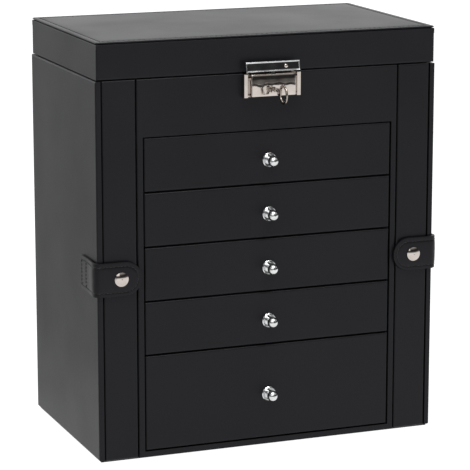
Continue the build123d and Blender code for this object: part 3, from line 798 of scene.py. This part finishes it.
def screw_seats():
    """Where the screws sit, as (x, z) on the rear face, for each body."""
    lid_low, lid_high = span("lid_hinge_leaves")
    seam = (span("lid_shell")[0].z + span("back_panel")[1].z) / 2
    seats = {"case": [], "lid": []}
    for hinge_x in (lid_low.x + LID_LEAF_HALF, lid_high.x - LID_LEAF_HALF):
        for shift in (-LID_SCREW_SHIFT, LID_SCREW_SHIFT):
            seats["case"].append((hinge_x + shift, seam - LID_SCREW_RISE))
            seats["lid"].append((hinge_x + shift, seam + LID_SCREW_RISE))
    for z in DOOR_HINGE_Z:
        for shift in (-DOOR_SCREW_SHIFT, DOOR_SCREW_SHIFT):
            for sign in (-1, 1):
                seats["case"].append((sign * DOOR_SCREW_X, z + shift))
    return seats


def build_screws():
    """Cross-head screws in the leaves that show at the back."""
    head = lathe([(0, -0.6), (1.9, -0.6), (1.9, 0.0), (1.7, 0.28), (1.1, 0.5), (0.45, 0.56),
                  (0, 0.57)], 32)
    # A near-black cross laid on each head stands for the shade inside its recess (painted shade).
    bar = moulded((1.05, 0.22), 0.1, [(0.05, 0.3), (0, 0.45), (0.02, 0.6), (0.08, 0.62)],
                  spacing=0.5)
    cross = merged([bar, placed(bar, (0, 0, 0.004), (0, 1, 0), (-1, 0, 0))])
    for body, places in screw_seats().items():
        heads, painted_recess_crosses = [], []
        for index, (x, z) in enumerate(places):
            turn = 0.5 + 1.3 * index
            across = (-math.cos(turn), 0, math.sin(turn))
            up = (math.sin(turn), 0, math.cos(turn))
            heads.append(placed(head, (x, LEAF_BACK, z), across, up, (0, 1, 0)))
            painted_recess_crosses.append(placed(cross, (x, LEAF_BACK, z), across, up, (0, 1, 0)))
        piece(f"{body}_hinge_screws", merged(heads), STEEL, body)
        piece(f"{body}_screw_recess_painted_shade", merged(painted_recess_crosses), SHADE_STEEL, body)


# ---- insides ----------------------------------------------------------------------------------

LINING_BITE = 0.12       # linings reach this far into the walls they cover
WRAP = 0.35              # thickness of velvet round a divider's board


def cell_middle(x, y):
    """The middle of a cell given by its (low, high) in x and in y."""
    return ((x[0] + x[1]) / 2, (y[0] + y[1]) / 2, 0)


def lined_cell(x, y, floor, rim):
    """A velvet lining with a turned-over rim, rounded corners and a soft floor."""
    half = ((x[1] - x[0]) / 2 + LINING_BITE, (y[1] - y[0]) / 2 + LINING_BITE)
    levels = [(0.0, floor - 0.1), (0.0, rim - 0.6), (0.15, rim - 0.1), (0.5, rim + 0.1),
              (0.85, rim - 0.15), (0.95, rim - 0.8), (0.95, floor + 3.4), (1.15, floor + 2.2),
              (1.8, floor + 1.3), (2.9, floor + 0.85), (4.5, floor + 0.75), (8.0, floor + 0.9)]
    return placed(moulded(half, 3.0, levels, spacing=4.0, arc_steps=6), cell_middle(x, y))


def divider(x, y, floor, top):
    """A velvet-wrapped board with a rounded top edge."""
    half = ((x[1] - x[0]) / 2 + WRAP, (y[1] - y[0]) / 2 + WRAP)
    levels = [(0.0, floor), (0.0, top - 1.2), (0.1, top - 0.7), (0.4, top - 0.25),
              (0.8, top - 0.03), (1.1, top)]
    return placed(moulded(half, 0.3, levels, spacing=6.0, arc_steps=3), cell_middle(x, y))


BOX_WALL = 3.0
BOX_FLOOR = 2.0
DIVIDER_HALF = 1.0


def build_drawer_linings():
    """A velvet lining in each drawer."""
    for number in range(1, 6):
        low, high = span(f"drawer_{number}_box")
        x = (low.x + BOX_WALL, high.x - BOX_WALL)
        y = (low.y + BOX_WALL, high.y - BOX_WALL)
        floor = low.z + BOX_FLOOR
        piece(f"drawer_{number}_velvet", lined_cell(x, y, floor, high.z), VELVET,
              f"drawer_{number}")


def build_drawer_dividers():
    """Velvet dividers in the upper three drawers: two, a cross, and one."""
    for number in (1, 2, 3):
        low, high = span(f"drawer_{number}_dividers")
        box_high = span(f"drawer_{number}_box")[1]
        y = (low.y, high.y)
        centres = [high.x - DIVIDER_HALF, low.x + DIVIDER_HALF] if number == 1 else [0.0]
        boards = [divider((x - DIVIDER_HALF, x + DIVIDER_HALF), y, low.z, high.z) for x in centres]
        if number == 2:
            middle = (low.y + high.y) / 2
            edge = box_high.x - BOX_WALL
            for x in ((-edge, -DIVIDER_HALF), (DIVIDER_HALF, edge)):
                boards.append(divider(x, (middle - DIVIDER_HALF, middle + DIVIDER_HALF), low.z,
                                      high.z - 0.2))
        made = piece(f"drawer_{number}_velvet_dividers", merged(boards), VELVET,
                     f"drawer_{number}")
        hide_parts(f"drawer_{number}_dividers")


ROLL_FLAT = 0.225        # share of a roll's section that is pressed flat underneath
ROLL_SQUARE = 0.8


def rounded(value):
    """A sine or cosine squared up a little."""
    return math.copysign(abs(value) ** ROLL_SQUARE, value)


def ring_roll(length, width, height, number):
    """A stuffed roll: flat underneath, crowned above, its ends gathered to the seam."""
    rings = []
    steps, sides = 40, 28
    for step in range(steps + 1):
        share = 2 * step / steps - 1
        size = max(max(1 - abs(share) ** 7, 0.0) ** 0.5, 0.05)
        wave = 0.10 * math.sin(9 * share + number * 1.7) + 0.07 * math.sin(23 * share + number)
        ring = []
        for side in range(sides):
            angle = 2 * math.pi * side / sides
            across, rise = rounded(math.cos(angle)), rounded(math.sin(angle))
            pucker = 1 + 0.035 * math.sin(7 * angle + number) * (abs(share) ** 6)
            up = max((rise + 1) / 2, ROLL_FLAT)
            crown = (up - ROLL_FLAT) / (1 - ROLL_FLAT) * height * (0.35 + 0.65 * size)
            ring.append((share * length / 2, across * size * width / 2 * pucker,
                         crown + wave * max(rise, 0)))
        rings.append(ring)
    return stack(rings)


TRAY_WALL = 1.5
TRAY_SPLIT = -20.0       # divider between the rolls and the boxes
TRAY_CROSS = 41.0        # divider between the two rear boxes
TRAY_RIM = 4.0           # top of the linings below the tray's top
ROLL_COUNT = 6
ROLL_SPREAD = 0.8        # the row of rolls reaches past its CAD node by this at each end


def build_tray_linings():
    """Velvet linings in the tray's three boxes."""
    low, high = span("top_tray")
    levels = (low.z + TRAY_WALL, high.z - TRAY_RIM)
    x_in, y_in = high.x - TRAY_WALL, high.y - TRAY_WALL
    rear = (DIVIDER_HALF, y_in)
    cells = [((TRAY_SPLIT + DIVIDER_HALF, x_in), (-y_in, -DIVIDER_HALF)),
             ((TRAY_SPLIT + DIVIDER_HALF, TRAY_CROSS - DIVIDER_HALF), rear),
             ((TRAY_CROSS + DIVIDER_HALF, x_in), rear)]
    piece("top_tray_velvet", merged([lined_cell(*cell, *levels) for cell in cells]), VELVET,
          "case")


def build_ring_rolls():
    """The row of stuffed ring rolls beside the tray's boxes."""
    low, high = span("ring_rolls")
    step = (high.y - low.y + 2 * ROLL_SPREAD) / ROLL_COUNT
    for number in range(ROLL_COUNT):
        centre = ((low.x + high.x) / 2, low.y - ROLL_SPREAD + (number + 0.5) * step, low.z)
        shape = ring_roll(high.x - low.x, step - 0.5, high.z - low.z, number)
        roll = piece(f"ring_roll_{number + 1}", placed(shape, centre), VELVET, "case",
                     crease=70)
        if number == 0:
            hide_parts("ring_rolls")


POCKET_CLOTH = 0.45      # thickness of the pocket's cloth
POCKET_FOLDS = 15
POCKET_ROWS = 18
POCKET_COLUMNS = 150


def pocket_reach(share, up, deep):
    """How far a pocket stands off its wall, at a share (-1 to 1) across and (0 to 1) up it."""
    belly = deep * (0.45 + 0.5 * math.sin(math.pi * min(up * 0.62 + 0.12, 1)))
    hold = max(1 - abs(share) ** 6, 0) ** 0.5
    phase = share * 0.5 + 0.04 * math.sin(5 * share)
    ripple = (0.30 + 1.05 * up ** 2) * math.sin(2 * math.pi * POCKET_FOLDS * phase)
    ripple += 0.25 * math.sin(37 * share + 5 * up)
    return 0.5 + (belly + ripple * 0.9) * hold


def sheet_faces(rows, columns):
    """Faces of two sheets of points, one behind the other, joined round their borders."""
    across = columns + 1
    count = (rows + 1) * across
    faces = []
    for row in range(rows):
        for column in range(columns):
            corner = row * across + column
            quad = (corner, corner + 1, corner + across + 1, corner + across)
            faces.append(quad)
            faces.append(tuple(reversed([count + index for index in quad])))
    border = list(range(across))
    border += [row * across + columns for row in range(1, rows + 1)]
    border += [rows * across + column for column in range(columns - 1, -1, -1)]
    border += [row * across for row in range(rows - 1, 0, -1)]
    for here, there in zip(border, border[1:] + border[:1]):
        faces.append((there, here, here + count, there + count))
    return faces


def pocket_points(sign):
    """The outer and the inner sheet of points of one pocket, row by row from below."""
    low, high = span("elastic_pockets")
    wall = span("partitions")[1].x
    outer, inner = [], []
    for up in (row / POCKET_ROWS for row in range(POCKET_ROWS + 1)):
        for column in range(POCKET_COLUMNS + 1):
            share = 2 * column / POCKET_COLUMNS - 1
            x = wall + pocket_reach(share, up, high.x - wall)
            place = (low.y + (high.y - low.y) * (share + 1) / 2, low.z + (high.z - low.z) * up)
            outer.append((sign * x, *place))
            inner.append((sign * (x - POCKET_CLOTH), *place))
    return outer, inner


def build_pockets():
    """Gathered velvet pockets on the inner walls, each drawn in by an elastic hem."""
    for side, sign in (("left", -1), ("right", 1)):
        outer, inner = pocket_points(sign)
        faces = sheet_faces(POCKET_ROWS, POCKET_COLUMNS)
        pocket = piece(f"{side}_gathered_pocket", (outer + inner, faces), VELVET, "case",
                       crease=80)
        top = outer[-POCKET_COLUMNS - 1:]
        hem_path = [Vector(point) + Vector((-sign * 0.2, 0, -0.2)) for point in top]
        hem = piece(f"{side}_pocket_elastic", tube(hem_path, 1.3, sides=10, flatten=0.7), VELVET,
                    "case", crease=80)
        if sign < 0:
            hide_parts("elastic_pockets")


def build_door_linings():
    """A velvet-covered card on the inside of each door."""
    for side, sign in (("left", 1), ("right", -1)):
        low, high = span(f"{side}_door_lining")
        half = ((high.y - low.y) / 2, (high.z - low.z) / 2)
        levels = [(0.2, -0.1), (0.0, 0.2), (0.05, 0.6), (0.35, 0.9), (0.9, 1.02), (4.0, 1.05),
                  (9.0, 1.0)]
        shape = moulded(half, 2.5, levels, spacing=5.0)
        centre = (low.x if sign > 0 else high.x, (low.y + high.y) / 2, (low.z + high.z) / 2)
        lining = piece(f"{side}_door_velvet", placed(shape, centre, (0, sign, 0), (0, 0, 1),
                                                     (sign, 0, 0)),
                       VELVET, f"{side}_door")
        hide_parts(f"{side}_door_lining")


# ---- studio -----------------------------------------------------------------------------------

CAMERA_PLACE = (-0.6814, -1.7534, 0.5602)
CAMERA_DOWN = 12.244
CAMERA_TURN = 21.344
CAMERA_LENS = 182.67
FLOOR_GLOW = 0.96
FLOOR_DIM = 0.53         # share of the glow that the paper keeps far to the left
DIM_LINE = (-0.285, -0.175)      # where, in metres to the right, the paper goes from dim to full
DIM_SLANT = -0.28        # how much that line leans with Y
FLOOR_DROP = 0.0002      # the paper lies just under the object
FLOOR_RADII = (0.3, 1.0, 2.5, 5.0, 9.0)
FLOOR_SEGMENTS = 96
LIGHTS_AIM = (0, 0, 0.2)
# (axis, start, end, brightness before the start, brightness after the end)
WORLD_PARTS = (("Y", -0.15, 0.75, 0.03, 1.22), ("X", -0.1, -0.9, 0.0, 0.10),
               ("Z", 0.0, 0.15, 0.2, 0.0), ("Z", 0.28, 0.55, 0.0, 0.40))


def build_camera():
    """A long lens that looks down on the case from its left front."""
    camera = bpy.data.cameras.new("camera")
    camera.lens = CAMERA_LENS
    camera.sensor_width = 36.0
    camera.clip_start = 0.05
    camera.clip_end = 60.0
    holder = bpy.data.objects.new("camera", camera)
    holder.location = CAMERA_PLACE
    holder.rotation_euler = (math.radians(90 - CAMERA_DOWN), 0, -math.radians(CAMERA_TURN))
    bpy.context.scene.collection.objects.link(holder)
    bpy.context.scene.camera = holder


def build_softbox(name, place, size, power):
    """A soft rectangular light that looks at the case."""
    light = bpy.data.lights.new(name, "AREA")
    light.shape = "RECTANGLE"
    light.size, light.size_y = size
    light.energy = power
    holder = bpy.data.objects.new(name, light)
    holder.location = place
    direction = Vector(LIGHTS_AIM) - Vector(place)
    holder.rotation_euler = direction.to_track_quat("-Z", "Y").to_euler()
    bpy.context.scene.collection.objects.link(holder)


def build_world():
    """A studio that is bright behind the case and high up, and dark low down in front of it."""
    world = bpy.data.worlds.new("studio")
    bpy.context.scene.world = world
    world.use_nodes = True
    tree = world.node_tree
    place = tree.nodes.new("ShaderNodeTexCoord")
    split = tree.nodes.new("ShaderNodeSeparateXYZ")
    tree.links.new(place.outputs["Generated"], split.inputs["Vector"])
    total = None
    for axis, start, end, low, high in WORLD_PARTS:
        part = tree.nodes.new("ShaderNodeMapRange")
        part.interpolation_type = "SMOOTHSTEP"
        for socket, number in zip(("From Min", "From Max", "To Min", "To Max"),
                                  (start, end, low, high)):
            part.inputs[socket].default_value = number
        tree.links.new(split.outputs[axis], part.inputs["Value"])
        if total is None:
            total = part.outputs["Result"]
        else:
            both = tree.nodes.new("ShaderNodeMath")
            both.operation = "ADD"
            tree.links.new(total, both.inputs[0])
            tree.links.new(part.outputs["Result"], both.inputs[1])
            total = both.outputs["Value"]
    background = tree.nodes["Background"]
    background.inputs["Color"].default_value = (1, 1, 1, 1)
    tree.links.new(total, background.inputs["Strength"])


def floor_material():
    """White studio floor that glows like lit paper, a little less so to the left of the object."""
    make = Nodes("studio_floor")
    glow = make.add("ShaderNodeEmission")
    split = make.add("ShaderNodeSeparateXYZ")
    make.link(make.stretched((1.0, DIM_SLANT, 1.0)), split.inputs["Vector"])
    beside = make.add("ShaderNodeMath", operation="ADD")
    make.link(split.outputs["X"], beside.inputs[0])
    make.link(split.outputs["Y"], beside.inputs[1])
    edge = make.between(beside.outputs["Value"], FLOOR_DIM * FLOOR_GLOW, FLOOR_GLOW, *DIM_LINE)
    make.link(edge, glow.inputs["Strength"])
    grain = make.noise(9.0, 3.0)
    paper = make.colours(grain, (0.3, (0.21, 0.21, 0.21)), (0.7, (0.23, 0.23, 0.23)))
    matt = make.add("ShaderNodeBsdfDiffuse")
    make.link(paper, matt.inputs["Color"])
    both = make.add("ShaderNodeAddShader")
    make.link(glow.outputs["Emission"], both.inputs[0])
    make.link(matt.outputs["BSDF"], both.inputs[1])
    make.link(both.outputs["Shader"], make.tree.nodes["Material Output"].inputs["Surface"])
    return make.material


def build_floor():
    """A wide round sheet of white paper under the object."""
    turns = [2 * math.pi * step / FLOOR_SEGMENTS for step in range(FLOOR_SEGMENTS)]
    points, faces = stack([[(radius / MM * math.cos(turn), radius / MM * math.sin(turn), 0.0)
                            for turn in turns] for radius in FLOOR_RADII])
    mesh = bpy.data.meshes.new("floor")
    mesh.from_pydata([Vector(point) * MM for point in points], [], faces[:-1])
    mesh.materials.append(floor_material())
    floor = bpy.data.objects.new("floor", mesh)
    floor.location.z = -FLOOR_DROP
    bpy.context.scene.collection.objects.link(floor)


def build_studio():
    """Camera, lights and paper."""
    build_camera()
    build_world()
    build_floor()
    build_softbox("upper_left_softbox", (-1.0, -1.7, 1.35), (2.2, 1.3), 11.0)
    build_softbox("overhead_softbox", (-0.1, -0.75, 2.0), (1.6, 1.0), 32.0)
    bpy.context.scene.view_settings.view_transform = "Standard"


finish_frame()
build_lid_panel()
build_lid_inside()
build_straps()
build_snap_studs()
build_lock_cover()
build_hasp_plate()
build_key()
build_screws()
build_drawer_linings()
build_drawer_dividers()
build_tray_linings()
build_ring_rolls()
build_pockets()
build_door_linings()
build_studio()
